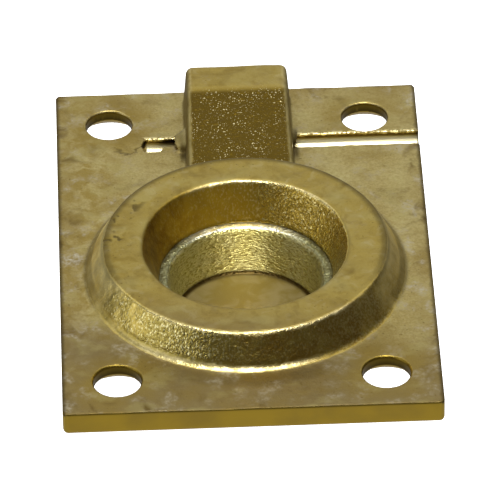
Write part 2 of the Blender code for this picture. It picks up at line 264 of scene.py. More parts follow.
def add(name, *meshes):
    """An object of these solids."""
    whole = bmesh.new()
    for mesh in meshes:
        piece = bpy.data.meshes.new(name)
        mesh.to_mesh(piece)
        mesh.free()
        whole.from_mesh(piece)
        bpy.data.meshes.remove(piece)
    data = bpy.data.meshes.new(name)
    whole.to_mesh(data)
    whole.free()
    item = bpy.data.objects.new(name, data)
    bpy.context.scene.collection.objects.link(item)
    return item


def evaluated(item):
    """Swaps an object's mesh for the one its modifiers make, and clears them."""
    bpy.context.view_layer.update()
    graph = bpy.context.evaluated_depsgraph_get()
    made = bpy.data.meshes.new_from_object(item.evaluated_get(graph))
    old = item.data
    item.modifiers.clear()
    item.data = made
    bpy.data.meshes.remove(old)


def combine(item, operation, *meshes):
    """Joins solids to an object, or cuts them from it, all at once."""
    other = add("tool", *meshes)
    change = item.modifiers.new(operation, "BOOLEAN")
    change.operation = operation
    change.solver = "EXACT"
    change.object = other
    evaluated(item)
    bpy.data.objects.remove(other, do_unlink=True)


def refine(item, smoothing):
    """Gives an object an even fine mesh, whose edges are softly rounded."""
    change = item.modifiers.new("even", "REMESH")
    change.mode = "VOXEL"
    change.voxel_size = VOXEL
    change.adaptivity = 0
    soften = item.modifiers.new("soften", "SMOOTH")
    soften.factor = 0.5
    soften.iterations = smoothing
    evaluated(item)


def thin_out(item, even=None):
    """Leaves MOST_TRIANGLES at most, fewer on flat stretches, but with no long ones where even is true."""
    item.data.calc_loop_triangles()
    have = len(item.data.loop_triangles)
    if have > MOST_TRIANGLES:
        change = item.modifiers.new("thin", "DECIMATE")
        change.ratio = MOST_TRIANGLES / have
        if even is not None:
            group = item.vertex_groups.new(name="thin_first")
            indices = np.arange(len(even))
            group.add(indices[even].tolist(), 0.5, "REPLACE")
            group.add(indices[~even].tolist(), 1.0, "REPLACE")
            change.vertex_group = group.name
            change.vertex_group_factor = LENGTH_COST
        evaluated(item)
        item.vertex_groups.clear()
    item.data.shade_smooth()


# ------------ surface data
def read(item):
    """Each vertex's place and normal, as arrays of x, y and z."""
    count = len(item.data.vertices)
    places = np.empty(count * 3, np.float32)
    normals = np.empty(count * 3, np.float32)
    item.data.vertices.foreach_get("co", places)
    item.data.vertex_normals.foreach_get("vector", normals)
    return places.reshape(-1, 3).astype(float), normals.reshape(-1, 3).astype(float)


def push(item, depth):
    """Moves each vertex out along its normal by its own depth."""
    places, normals = read(item)
    item.data.vertices.foreach_set("co", (places + normals * depth[:, None]).ravel())
    item.data.update()


def write(item, **values):
    """Stores one number per vertex under each name, for the materials."""
    for name, value in values.items():
        layer = item.data.attributes.new(name, "FLOAT", "POINT")
        layer.data.foreach_set("value", np.clip(value, 0, 1).astype(np.float32))


def step(value, low, high):
    """0 below low, 1 above high, smooth between; low may be the greater one."""
    share = np.clip((value - low) / (high - low), 0, 1)
    return share * share * (3 - 2 * share)


def around(value, middle, inner, outer):
    """1 within inner of the middle, 0 beyond outer, smooth between."""
    return step(abs(value - middle), outer, inner)


def noise(places, size, seed):
    """Smooth random numbers from -1 to 1 over space, with bumps of this size, which may differ by axis."""
    grid = 32
    table = np.random.default_rng(seed).uniform(-1, 1, (grid, grid, grid))
    cells = places / size
    base = np.floor(cells).astype(int)
    share = cells - base
    share = share * share * (3 - 2 * share)
    total = np.zeros(len(places))
    for corner in range(8):
        offset = np.array([corner & 1, corner >> 1 & 1, corner >> 2 & 1])
        weight = np.prod(np.where(offset, share, 1 - share), axis=1)
        i, j, k = ((base + offset) % grid).T
        total += weight * table[i, j, k]
    return total


def along_x(y, z):
    """Lays a turned solid's axis along x, at this y and z."""
    return Matrix.Translation((0, y, z)) @ Matrix.Rotation(math.pi / 2, 4, "Y")


# ------------ housing
def plate():
    """The flat plate, rounded along its front's edges."""
    corners = [(sx * PLATE_X, sy * PLATE_Y, PLATE_CORNER) for sx, sy in ((-1, -1), (1, -1), (1, 1), (-1, 1))]
    mesh = prism(rounded(corners), FRONT, BACK, upright)
    edges = [edge for edge in mesh.edges if all(abs(v.co.z - FRONT) < WELD for v in edge.verts)]
    bmesh.ops.bevel(mesh, geom=edges, offset=PLATE_FRONT_ROUNDING, segments=4, profile=0.5, affect="EDGES")
    return closed(mesh)


def cup_mass():
    """The raised ring as a solid, with a fillet at its foot."""
    inside = BACK - PLATE_THICKNESS / 2
    just_under = BACK - 20 * WELD
    foot = CUP_BASE_RADIUS + 2 * CUP_FOOT_FILLET
    corners = [
        (0, inside, 0),
        (foot, inside, 0),
        (foot, just_under, 0),
        (CUP_BASE_RADIUS, just_under, CUP_FOOT_FILLET),
        (CUP_TOP_RADIUS, BACK + CUP_HEIGHT, CUP_EDGE_ROUNDING),
        (0, BACK + CUP_HEIGHT, 0),
    ]
    return lathe(rounded(corners), AT_CUP)


def roof_height(y):
    """The lug's height above the plate's back, which falls from the ridge towards the ring."""
    return LUG_HEIGHT - max(0, ROOF_RIDGE_Y - y) * ROOF_FALL


def lug():
    """The knuckle pocket's outside as a solid."""
    inside = BACK - PLATE_THICKNESS / 2
    outline = rounded([
        (LUG_NEAR_Y, inside, 0),
        (LUG_NEAR_Y, BACK + roof_height(LUG_NEAR_Y), 0),
        (ROOF_RIDGE_Y, BACK + LUG_HEIGHT, RIDGE_ROUNDING),
        (LUG_FAR_Y - LUG_DRAFT * LUG_HEIGHT, BACK + LUG_HEIGHT, 0),
        (LUG_FAR_Y, inside, 0),
    ], most_turn=math.radians(2))

    def drafted(y, z, side):
        return (LUG_X + side * (LUG_BASE_HALF_WIDTH - LUG_DRAFT * (z - BACK)), y, z)

    mesh = prism(outline, -1, 1, drafted)

    def outer(edge):
        middle = (edge.verts[0].co + edge.verts[1].co) / 2
        across = abs(edge.verts[0].co.x - edge.verts[1].co.x) > POCKET_HALF_WIDTH
        ridge = across and abs(middle.y - ROOF_RIDGE_Y) < MM
        return middle.z > inside + WELD and middle.y > LUG_NEAR_Y + WELD and not ridge

    edges = [edge for edge in mesh.edges if outer(edge)]
    bmesh.ops.bevel(mesh, geom=edges, offset=LUG_ROUNDING, segments=6, profile=0.5, affect="EDGES")
    return closed(mesh)


def ears():
    """Pointed bosses on the hinge's line, on both sides of the lug."""
    outline = [
        (0, EAR_LEFT_TIP_X),
        (EAR_RADIUS, -EAR_HALF_WIDTH),
        (EAR_RADIUS, EAR_HALF_WIDTH),
        (0, EAR_RIGHT_TIP_X),
    ]
    return lathe(outline, along_x(HINGE_Y, BACK), steps=64)


def hollow():
    """The raised ring's opening, down to the boss's rim, and the socket for the boss below it."""
    top = BACK + CUP_HEIGHT
    shoulder = BOSS_RIM - 0.06 * MM
    corners = [
        (0, FRONT - BEYOND, 0),
        (BOSS_SOCKET_RADIUS, FRONT - BEYOND, 0),
        (BOSS_SOCKET_RADIUS, shoulder, 0),
        (HOLLOW_SHOULDER_RADIUS, shoulder, 0),
        (HOLLOW_MOUTH_RADIUS, top + 2 * WELD, CUP_EDGE_ROUNDING),
        (HOLLOW_MOUTH_RADIUS + BEYOND, top + 4 * WELD, 0),
        (HOLLOW_MOUTH_RADIUS + BEYOND, top + BEYOND, 0),
        (0, top + BEYOND, 0),
    ]
    return lathe(rounded(corners), AT_CUP)


def channel():
    """The ring's round channel, open at the front."""
    depth = CHANNEL_TOP - FRONT
    outer_flare = (CHANNEL_MOUTH_RADIUS - CHANNEL_TOP_RADIUS) / depth * BEYOND
    inner_flare = (ISLAND_TOP_RADIUS - ISLAND_FRONT_RADIUS) / depth * BEYOND
    corners = [
        (ISLAND_FRONT_RADIUS - inner_flare, FRONT - BEYOND, 0),
        (CHANNEL_MOUTH_RADIUS + outer_flare, FRONT - BEYOND, 0),
        (CHANNEL_TOP_RADIUS, CHANNEL_TOP, CHANNEL_FILLET),
        (ISLAND_TOP_RADIUS, CHANNEL_TOP, CHANNEL_FILLET),
    ]
    return lathe(rounded(corners), AT_CUP)


def pocket():
    """The knuckle's room, open at the front up to a lip at its far end."""
    def ceiling(y):
        return BACK + roof_height(y) - POCKET_ROOF

    outline = [
        (POCKET_NEAR_Y, FRONT - BEYOND),
        (POCKET_NEAR_Y, ceiling(POCKET_NEAR_Y)),
        (ROOF_RIDGE_Y, ceiling(ROOF_RIDGE_Y)),
        (POCKET_FAR_Y, ceiling(POCKET_FAR_Y)),
        (POCKET_FAR_Y, FRONT + LIP_THICKNESS),
        (LIP_Y, FRONT + LIP_THICKNESS),
        (LIP_Y, FRONT - BEYOND),
    ]
    return prism(outline, LUG_X - POCKET_HALF_WIDTH, LUG_X + POCKET_HALF_WIDTH, sideways)


def drilling():
    """The hinge pin's hole, in from the plate's +X edge."""
    outline = [
        (0, DRILL_END_X - DRILL_TIP),
        (DRILL_RADIUS, DRILL_END_X),
        (DRILL_RADIUS, PLATE_X + BEYOND),
        (0, PLATE_X + BEYOND),
    ]
    return lathe(outline, along_x(HINGE_Y, HINGE_Z), steps=64)


def slot_filling():
    """Metal in the drilling's near half, between its blind end and the left ear, short of the pin."""
    outline = rounded([
        (SLOT_FILL_LOW_X, HINGE_Y - DRILL_RADIUS - 0.2 * MM, 0),
        (SLOT_FILL_HIGH_X, HINGE_Y - DRILL_RADIUS - 0.2 * MM, 0),
        (SLOT_FILL_HIGH_X, HINGE_Y - 0.1 * MM, 0.3 * MM),
        (SLOT_FILL_LOW_X + 0.4 * MM, HINGE_Y - 0.1 * MM, 0.4 * MM),
    ])
    return prism(outline, HINGE_Z - DRILL_RADIUS, BACK - 0.05 * MM, upright)


def screw_hole(x, y):
    """A countersunk hole, whose edge on the back is a little rounded."""
    widening = (SCREW_HEAD_RADIUS - SCREW_RADIUS) / (PLATE_THICKNESS - SCREW_LAND)
    corners = [
        (0, FRONT - BEYOND, 0),
        (SCREW_HEAD_RADIUS + widening * BEYOND, FRONT - BEYOND, 0),
        (SCREW_RADIUS, BACK - SCREW_LAND, 0),
        (SCREW_RADIUS, BACK + 2 * WELD, HOLE_ROUNDING),
        (SCREW_RADIUS + 2 * HOLE_ROUNDING, BACK + 4 * WELD, 0),
        (SCREW_RADIUS + 2 * HOLE_ROUNDING, BACK + BEYOND, 0),
        (0, BACK + BEYOND, 0),
    ]
    return lathe(rounded(corners), Matrix.Translation((x, y, 0)), steps=96)


def make_housing():
    """The casting: its solids and cuts, then its cast skin, then where its looks go."""
    item = add("housing_casting", plate())
    for solid in (cup_mass, lug, ears):
        combine(item, "UNION", solid())
    for cut in (hollow, channel, pocket, drilling):
        combine(item, "DIFFERENCE", cut())
    combine(item, "UNION", slot_filling())
    combine(item, "DIFFERENCE", *[screw_hole(x, y) for x, y in SCREW_PLACES])
    refine(item, smoothing=3)
    cast_skin(item)
    places, normals = read(item)
    thin_out(item, even=(places[:, 2] > BACK - 0.6 * MM) & (normals[:, 2] > -0.2))
    mark_housing(item)
    return item


def zones(item):
    """How far each vertex of the housing is of each kind of surface, from 0 to 1, and where it is."""
    places, normals = read(item)
    x, y, z = places.T
    up = normals[:, 2]
    radius = np.hypot(x, y - CUP_Y)
    near_side = (CUP_Y - y) / np.maximum(radius, MM)
    right_side = x / np.maximum(radius, MM)
    height = z - BACK
    from_pin = np.hypot(y - HINGE_Y, z - HINGE_Z)
    to_hole = np.minimum.reduce([np.hypot(x - hole_x, y - hole_y) for hole_x, hole_y in SCREW_PLACES])
    to_edge = np.minimum(PLATE_X - abs(x), PLATE_Y - abs(y))

    lug = around(x, LUG_X, LUG_BASE_HALF_WIDTH + 0.15 * MM, LUG_BASE_HALF_WIDTH + 0.4 * MM)
    lug *= step(y, LUG_NEAR_Y - 0.5 * MM, LUG_NEAR_Y) * step(height, 0.25 * MM, 0.6 * MM)
    lug *= step(radius, CUP_TOP_RADIUS - 0.3 * MM, CUP_TOP_RADIUS + 0.3 * MM)
    roof = lug * step(up, 0.8, 0.95) * step(y, ROOF_RIDGE_Y + 0.6 * MM, ROOF_RIDGE_Y - 0.9 * MM)

    before = step(near_side, 0.2, 0.6)
    cone = step(radius, CUP_TOP_RADIUS - 0.4 * MM, CUP_TOP_RADIUS) * step(height, 0.02 * MM, 0.12 * MM)
    cone *= step(radius, CUP_BASE_RADIUS + 1.5 * MM, CUP_BASE_RADIUS + 0.5 * MM)
    cone *= step(up, 0.86 + 0.11 * before, 0.6 + 0.3 * before) * (1 - lug)
    top = step(height, 3 * MM, 3.6 * MM)

    behind = step(near_side, -0.2, -0.6)
    mouth = step(radius, HOLLOW_MOUTH_RADIUS + 0.6 * MM, HOLLOW_MOUTH_RADIUS + 0.2 * MM)
    mouth *= step(z, BOSS_RIM - 0.4 * MM, BOSS_RIM) * step(up, 0.82 + 0.13 * behind, 0.55 + 0.3 * behind)

    sides = step(to_edge, 0.15 * MM, 0) * step(up, 0.75, 0.35)
    front = step(z, FRONT + 0.45 * MM, FRONT + 0.15 * MM)
    inner = step(height, -0.2 * MM, -0.5 * MM) * (1 - sides)

    groove = step(from_pin, DRILL_RADIUS + 0.25 * MM, DRILL_RADIUS + 0.1 * MM)
    groove *= step(height, -0.1 * MM, -0.25 * MM) * step(x, DRILL_END_X - 0.6 * MM, DRILL_END_X - 0.4 * MM)
    filled = step(x, SLOT_FILL_LOW_X, SLOT_FILL_LOW_X + 0.4 * MM) * step(x, 0, -MM)
    holes = step(to_hole, SCREW_HEAD_RADIUS + 0.1 * MM, SCREW_HEAD_RADIUS - 0.1 * MM) * step(up, 0.97, 0.85)
    straight = step(to_hole, SCREW_RADIUS + 0.35 * MM, SCREW_RADIUS + 0.2 * MM)
    holes *= np.maximum(straight, step(height, -0.2 * MM, -MM))
    countersinks = holes * step(up, -0.1, -0.4)

    back = np.prod([1 - other for other in (roof, cone, mouth, sides, front, inner, groove, holes)], axis=0)
    return SimpleNamespace(
        lug=lug, roof=roof, cone=cone, mouth=mouth, sides=sides, front=front, groove=groove, filled=filled,
        holes=holes, countersinks=countersinks, back=back, top=top, x=x, y=y, z=z, up=up, height=height,
        radius=radius, near_side=near_side, right_side=right_side, from_pin=from_pin, to_hole=to_hole,
        to_edge=to_edge,
    )


def cast_skin(item):
    """The unevenness of a sand casting: gentle waves on all of the back, grains on its slopes and roof."""
    places, _ = read(item)
    zone = zones(item)
    rough = np.maximum.reduce([zone.roof, zone.cone, zone.mouth])
    waves = 0.035 * noise(places, 3.1 * MM, 1) + 0.02 * noise(places, 1.3 * MM, 2)
    grains = 0.022 * noise(places, 0.55 * MM, 3) + 0.012 * noise(places, 0.36 * MM, 4)
    lips = 0.06 * noise(places, 0.6 * MM, 5) * groove_lips(zone)
    depth = waves * np.maximum(zone.back, rough) + grains * (0.25 * zone.back + rough) + lips
    depth -= 0.06 * crack(places) * zone.back + 0.07 * pitted(places, zone)
    push(item, depth * MM)
    places, _ = read(item)
    item.data.vertices.foreach_set("co", np.clip(places, housing_low, housing_high).ravel())
    item.data.update()


def groove_lips(zone):
    """1 along the two edges where the pin's drilling breaks out through the back."""
    near = around(zone.from_pin, DRILL_RADIUS, 0.1 * MM, 0.5 * MM) * around(zone.z, BACK, 0.1 * MM, 0.5 * MM)
    return near * step(zone.x, DRILL_END_X - MM, DRILL_END_X)


def far_lip(zone):
    """1 along the far edge only, which is burred; a highlight is painted along it."""
    near = around(zone.from_pin, DRILL_RADIUS + 0.1 * MM, 0.15 * MM, 0.4 * MM)
    near *= around(zone.z, BACK, 0.1 * MM, 0.35 * MM) * step(zone.y, HINGE_Y, HINGE_Y + 0.3 * MM)
    return near * step(zone.x, DRILL_END_X - 0.5 * MM, DRILL_END_X)


def crack(places):
    """1 along a thin cold shut in the casting, which wanders out from the drilling's blind end."""
    x, y, _ = places.T
    along = (DRILL_END_X - x) / CRACK_LENGTH
    wander = 0.7 * noise(places, 0.9 * MM, 21) + 0.4 * noise(places, 0.4 * MM, 24)
    line = HINGE_Y - 1.2 * MM * np.sin(np.pi * np.clip(along, 0, 1)) + wander * MM
    width = (0.2 + 0.15 * noise(places, 0.6 * MM, 25)) * MM
    return around(y, line, 0.04 * MM, width + 0.12 * MM) * step(along, -0.1, 0.05) * step(along, 1.0, 0.6)


def pitted(places, zone):
    """1 in small pits on the left of the ring's flat top."""
    pits = step(noise(places, 0.5 * MM, 26) + 0.3 * noise(places, 1.6 * MM, 27), 0.42, 0.6)
    pits *= step(-zone.right_side, 0.7, 0.9) * step(zone.near_side, 0.3, -0.1)
    return pits * zone.back * zone.top * step(zone.radius, 14 * MM, 15 * MM)


def dirt_and_shade_marks(places, zone):
    """1 where dark film and grime have gathered, and where shade is painted: in corners and holes, along
    edges, round the raised ring.
    """
    height, radius, near_side, up = zone.height, zone.radius, zone.near_side, zone.up
    ear_root = around(abs(zone.x - LUG_X), LUG_BASE_HALF_WIDTH + 0.3 * MM, 0.1 * MM, 0.6 * MM)
    ear_root *= step(height, 2.2 * MM, 0.4 * MM) * around(zone.y, HINGE_Y - 0.6 * MM, 1.8 * MM, 4.0 * MM)
    plate_edge = step(zone.to_edge, 0.4 * MM, 0.1 * MM) * step(up, 0.97, 0.85) * step(up, 0.15, 0.4)
    mouth_foot = step(zone.z, BOSS_RIM + 0.5 * MM, BOSS_RIM + 0.1 * MM)
    mouth_foot *= step(radius, BOSS_SOCKET_RADIUS + 0.15 * MM, BOSS_SOCKET_RADIUS - 0.05 * MM)
    top_edge = around(radius, CUP_TOP_RADIUS - 0.2 * MM, 0.15 * MM, 0.8 * MM) * zone.top
    foot = around(radius, CUP_BASE_RADIUS - 0.3 * MM, 0.2 * MM, 0.8 * MM) * step(height, 1.6 * MM, MM)
    before_foot = around(radius, CUP_BASE_RADIUS + 1.8 * MM, 0.4 * MM, 1.6 * MM) * step(near_side, 0.85, 0.97)
    return np.maximum.reduce([
        # painted shade: on the groove's far wall and filled end, low in the holes, at the lug's roots
        zone.groove * np.maximum(step(up, 0.45, 0.2), zone.filled),
        (zone.holes - zone.countersinks) * step(height, -0.7 * MM, -1.4 * MM),
        0.8 * ear_root * zone.back,
        # grime along the plate's left and right edges
        0.8 * step(PLATE_X - abs(zone.x), 0.55 * MM, 0.15 * MM) * zone.back,
        # painted shade on the plate's rounded edges
        0.55 * plate_edge,
        # grime in a crack and in pits
        0.6 * crack(places) * zone.back,
        0.7 * pitted(places, zone),
        # painted shade at the opening's foot, and on the raised ring's top edge and foot away from the near
        # side
        0.6 * mouth_foot,
        0.5 * top_edge * step(near_side, 0.6, 0.2),
        0.45 * foot * step(near_side, 0.5, 0.1),
        # a stain before the raised ring's foot on the near side
        0.3 * before_foot * zone.back,
    ])


def edge_highlights(zone, fillet):
    """1 where highlights are painted along edges: the raised ring's near top edge and near foot, the
    opening's far edge, the far holes' edges and the lug's sides.
    """
    height, near_side, right_side, up = zone.height, zone.near_side, zone.right_side, zone.up
    high = step(height, 2 * MM, 3 * MM)
    return step(up, 0.99, 0.94) * step(up, 0.5, 0.68) * np.maximum.reduce([
        zone.cone * high * step(near_side, 0.62, 0.85),
        0.85 * fillet * step(near_side, 0.5, 0.9) * step(right_side, 0.5, 0.2),
        0.9 * zone.mouth * high * step(near_side - 0.3 * right_side, -0.6, -0.9),
        0.6 * zone.holes * step(zone.y, 0, MM),
        0.3 * zone.lug * (1 - zone.roof) * step(height, MM, 2 * MM),
    ])


def mark_housing(item):
    """Says how far each vertex has each of the looks that cast_brass() puts together."""
    places, _ = read(item)
    zone = zones(item)
    x, y, up, height, back = zone.x, zone.y, zone.up, zone.height, zone.back
    near_side, right_side = zone.near_side, zone.right_side

    ragged = 0.12 * noise(places, 2.2 * MM, 22) + 0.08 * noise(places, 0.8 * MM, 23)
    left_film = step(-0.17 * near_side - 0.985 * right_side + ragged, 0.5, 1.0)
    right_film = 0.8 * step(right_side - 0.15 * near_side + ragged, 0.55, 1.0)
    cone_film = zone.cone * np.maximum(left_film, right_film)
    bare_cone = zone.cone * (1 - np.maximum(left_film, right_film))
    fillet = zone.cone * step(height, 1.1 * MM, 0.6 * MM)
    to_right = step(right_side + 0.5 * ragged, -0.4, 0)
    mouth_grain = 0.12 + 0.78 * step(right_side + 0.4 * near_side + ragged, -1.1, 0.15)
    mouth_shade = 0.3 + 0.45 * step(-right_side, 0.2, 0.9) - 0.2 * step(right_side, 0.5, 0.9)

    low_back = back * step(height, 0.6 * MM, 0.2 * MM)
    ring_foot = around(zone.radius, CUP_BASE_RADIUS + 1.5 * MM, 0.3 * MM, 1.6 * MM)
    near = back * step(y + 0.3 * np.minimum(x, 0), -16 * MM, -25 * MM)
    cleaner = 1 - 0.75 * near * step(x, -7 * MM, 3 * MM)
    hole_walls = zone.holes - zone.countersinks
    write(
        item,
        film=back,
        gold=back * step(height, 2 * MM, 3 * MM),
        near=near,
        left=back * step(x, -11 * MM, -19 * MM),
        halo=low_back * step(zone.to_hole, 7.5 * MM, 3.2 * MM),
        edge=cleaner * low_back * step(zone.to_edge, 4 * MM, 0.3 * MM),
        corner=cleaner * low_back * ring_foot,
        cone_film=cone_film,
        grain=np.maximum.reduce([
            bare_cone * (1 - 0.6 * fillet) * (1 - 0.3 * to_right),
            zone.mouth * mouth_grain,
            0.8 * cone_film,
            0.75 * zone.roof,
            0.3 * back,
        ]),
        # painted glints on the roof
        glitter=zone.roof,
        # painted glints on the ring's grainy slope and the opening's wall, which also get lower roughness and
        # bumps there
        spark=np.maximum(bare_cone * (1 - 0.7 * fillet) * (1 - 0.85 * to_right), zone.mouth * mouth_grain),
        lemon=np.maximum(bare_cone, 0.6 * zone.mouth * step(mouth_grain, 0.5, 0.9)),
        satin=zone.cone * np.maximum(step(right_side, 0.2, 0.9), cone_film),
        # painted shade on the raised ring's slope, more to the right, and on the opening's wall, more at the
        # left
        deep=np.maximum(bare_cone * (0.1 + 0.6 * to_right), zone.mouth * mouth_shade),
        # painted shade on the roof, the holes' walls and the lug's sides
        shade=np.maximum.reduce([zone.roof, 0.8 * hole_walls, 0.6 * zone.lug * step(up, 0.5, 0.2)]),
        buffed=np.maximum(np.maximum(zone.sides, zone.front) * (1 - zone.holes), zone.countersinks),
        machined=zone.groove * step(up, 0.2, 0.45) * (1 - zone.filled),
        # painted highlights: along the groove's far lip and along edges
        lip=far_lip(zone),
        worn=edge_highlights(zone, fillet),
        # grime, and painted shade in corners, holes and along edges
        dirt=dirt_and_shade_marks(places, zone),
    )


# ------------ boss, ring, pin, spring
def around_cup(item):
    """Each vertex's place, height, distance from the cup's axis, and how much it faces up."""
    places, normals = read(item)
    return places, places[:, 2], np.hypot(places[:, 0], places[:, 1] - CUP_Y), normals[:, 2]


def make_boss():
    """The turned cup: its chatter marks and ragged rim, then where its looks go."""
    corners = [
        (0, BOSS_FLOOR, 0),
        (BOSS_FLOOR_RADIUS, BOSS_FLOOR, BOSS_FLOOR_FILLET),
        (BOSS_RIM_INNER_RADIUS, BOSS_RIM, BOSS_RIM_ROUNDING),
        (BOSS_SKIRT_RADIUS, BOSS_RIM, 0),
        (BOSS_SKIRT_RADIUS, FRONT - BOSS_GAP, 0),
        (BOSS_FLANGE_RADIUS, FRONT - BOSS_GAP, 0),
        (BOSS_FLANGE_RADIUS, 0, BOSS_CROWN),
        (0, 0, 0),
    ]
    item = add("boss_cup", lathe(rounded(corners), AT_CUP))
    refine(item, smoothing=1)
    places, height, radius, up = around_cup(item)
    wall = step(radius, BOSS_FLOOR_RADIUS - 0.15 * MM, BOSS_FLOOR_RADIUS - 0.05 * MM)
    wall *= step(radius, BOSS_RIM_INNER_RADIUS + 0.25 * MM, BOSS_RIM_INNER_RADIUS + 0.05 * MM)
    wall *= step(height, BOSS_FLOOR + 0.1 * MM, BOSS_FLOOR + 0.5 * MM) * step(up, 0.8, 0.3)
    rim = step(height, BOSS_RIM - 0.25 * MM, BOSS_RIM - 0.05 * MM) * step(up, 0.3, 0.8)
    ripple = 0.03 * noise(places, np.array([0.9, 0.9, 0.36]) * MM, 11) + 0.025 * noise(places, 0.42 * MM, 12)
    ragged = 0.05 * noise(places, 0.7 * MM, 13)
    push(item, (ripple * wall + ragged * rim) * MM)
    thin_out(item)

    places, height, radius, up = around_cup(item)
    rim = step(height, BOSS_RIM - 0.3 * MM, BOSS_RIM - 0.1 * MM) * step(up, 0.45, 0.85)
    far_side = step((places[:, 1] - CUP_Y) / np.maximum(radius, MM), 0.6, 0.97)
    seam = 0.45 * rim * step(radius, BOSS_SKIRT_RADIUS - 0.7 * MM, BOSS_SKIRT_RADIUS - 0.45 * MM)
    floor = step(radius, BOSS_FLOOR_RADIUS - 0.1 * MM, BOSS_FLOOR_RADIUS - 0.4 * MM) * step(up, 0.5, 0.9)
    above_floor = step(height, BOSS_FLOOR - 0.2 * MM, BOSS_FLOOR - 0.1 * MM)
    corner = around(radius, BOSS_FLOOR_RADIUS, 0.15 * MM, 0.6 * MM) * above_floor
    corner *= step(height, BOSS_FLOOR + 0.6 * MM, BOSS_FLOOR + 0.3 * MM)
    inside = step(radius, BOSS_SKIRT_RADIUS + 0.15 * MM, BOSS_SKIRT_RADIUS - 0.05 * MM) * above_floor
    write(
        item,
        film=floor,
        residue=rim,
        # painted highlight on the rim's far side
        bright=rim * far_side,
        # painted shade in the floor's corner and round the rim's outer edge
        shade=np.maximum(corner, seam),
        buffed=1 - inside,
        # painted shade on the wall's right part, and a paler painted reflection on its sides
        dull=step(places[:, 0], 1 * MM, 4 * MM),
        pale=step(abs(places[:, 0]), 2.5 * MM, 7 * MM),
    )
    return item


def give_wall_its_own(item, material):
    """Puts a second material on the faces of the cup's inner wall."""
    item.data.materials.append(material)
    for face in item.data.polygons:
        x, y, z = face.center
        radius = math.hypot(x, y - CUP_Y)
        wall = BOSS_FLOOR_RADIUS - 0.1 * MM < radius < BOSS_RIM_INNER_RADIUS + 0.2 * MM
        if wall and BOSS_FLOOR + 0.05 * MM < z < BOSS_RIM - 0.1 * MM and face.normal.z < 0.8:
            face.material_index = 1


def make_ring():
    """The finger ring, with its neck and the forked knuckle on the pin."""
    bar_angles = np.arange(0, 2 * math.pi, math.radians(7.5))
    circle = arc(RING_OUTER_RADIUS - RING_BAR_RADIUS, RING_Z, RING_BAR_RADIUS, bar_angles)
    item = add("ring_bar", lathe(circle, AT_CUP))
    start = -math.pi / 2
    sweep = math.pi - math.asin((NECK_TOP - HINGE_Z) / KNUCKLE_RADIUS) - start
    outline = [(NECK_START_Y, NECK_TOP), (NECK_START_Y, HINGE_Z - KNUCKLE_RADIUS)]
    outline += arc(HINGE_Y, HINGE_Z, KNUCKLE_RADIUS, start + sweep * np.linspace(0, 1, 60))
    neck = prism(outline, LUG_X - NECK_HALF_WIDTH, LUG_X + NECK_HALF_WIDTH, sideways)
    reach = KNUCKLE_RADIUS + BEYOND
    bore = [(0, -PLATE_X), (KNUCKLE_HOLE_RADIUS, -PLATE_X), (KNUCKLE_HOLE_RADIUS, PLATE_X), (0, PLATE_X)]
    fork = block(
        (LUG_X - FORK_HALF_GAP, LUG_X + FORK_HALF_GAP),
        (FORK_ROOT_Y, HINGE_Y + reach),
        (HINGE_Z - reach, HINGE_Z + reach),
    )
    leg_x = LUG_X - COIL_HALF_WIDTH
    groove = block(
        (leg_x - LEG_GROOVE_HALF_WIDTH, leg_x + LEG_GROOVE_HALF_WIDTH),
        (LEG_GROOVE_END_Y, FORK_ROOT_Y + BEYOND),
        (HINGE_Z - reach, HINGE_Z - COIL_RADIUS + 2 * WIRE_RADIUS),
    )
    combine(item, "UNION", neck)
    for cut in (lathe(bore, along_x(HINGE_Y, HINGE_Z), steps=96), fork, groove):
        combine(item, "DIFFERENCE", cut)
    refine(item, smoothing=3)
    thin_out(item)
    return item


def make_pin():
    """The hinge pin, with its ends chamfered."""
    outline = [
        (0, pin_low.x),
        (PIN_RADIUS - PIN_CHAMFER, pin_low.x),
        (PIN_RADIUS, pin_low.x + PIN_CHAMFER),
        (PIN_RADIUS, pin_high.x - PIN_CHAMFER),
        (PIN_RADIUS - PIN_CHAMFER, pin_high.x),
        (0, pin_high.x),
    ]
    item = add("pin_rod", lathe(outline, along_x(HINGE_Y, HINGE_Z), steps=64))
    item.data.shade_smooth()
    item.data.set_sharp_from_angle(angle=math.radians(30))
    return item


def wire(name, route):
    """A round wire along a list of points."""
    curve = bpy.data.curves.new(name, "CURVE")
    curve.dimensions = "3D"
    curve.bevel_depth = WIRE_RADIUS
    curve.bevel_resolution = 6
    curve.use_fill_caps = True
    spline = curve.splines.new("POLY")
    spline.points.add(len(route) - 1)
    for point, place in zip(spline.points, route):
        point.co = (*place, 1)
    item = bpy.data.objects.new(name, curve)
    bpy.context.scene.collection.objects.link(item)
    return item


def make_spring():
    """The coil with its leg to the roof, which stay, and the leg under the neck, which goes with the ring."""
    leg_x = LUG_X - COIL_HALF_WIDTH
    wrap = 2 * math.pi * COIL_TURNS + ROOF_LEG_SLOPE
    shares = np.linspace(0, 1, 48 * COIL_TURNS)
    turns = arc(HINGE_Y, HINGE_Z, COIL_RADIUS, wrap * shares - math.pi / 2)
    coil = [(leg_x + 2 * COIL_HALF_WIDTH * share, y, z) for share, (y, z) in zip(shares, turns)]
    x, y, z = coil[-1]
    coil.append((x, y + (ROOF_LEG_TOP - z) / math.tan(ROOF_LEG_SLOPE), ROOF_LEG_TOP))
    leg = [(leg_x, y, HINGE_Z - COIL_RADIUS) for y in np.linspace(NECK_LEG_END_Y, HINGE_Y, 12)]
    return wire("spring_coil", coil), wire("spring_neck_leg", leg)


# ------------ materials
# The casting: bare and worked brass, and the colours of its painted highlights, painted glints and painted
# shade.
CLEAN = (0.64, 0.45, 0.065)
BUFFED = (0.68, 0.455, 0.055)
BUFFED_DARK = (0.55, 0.37, 0.06)
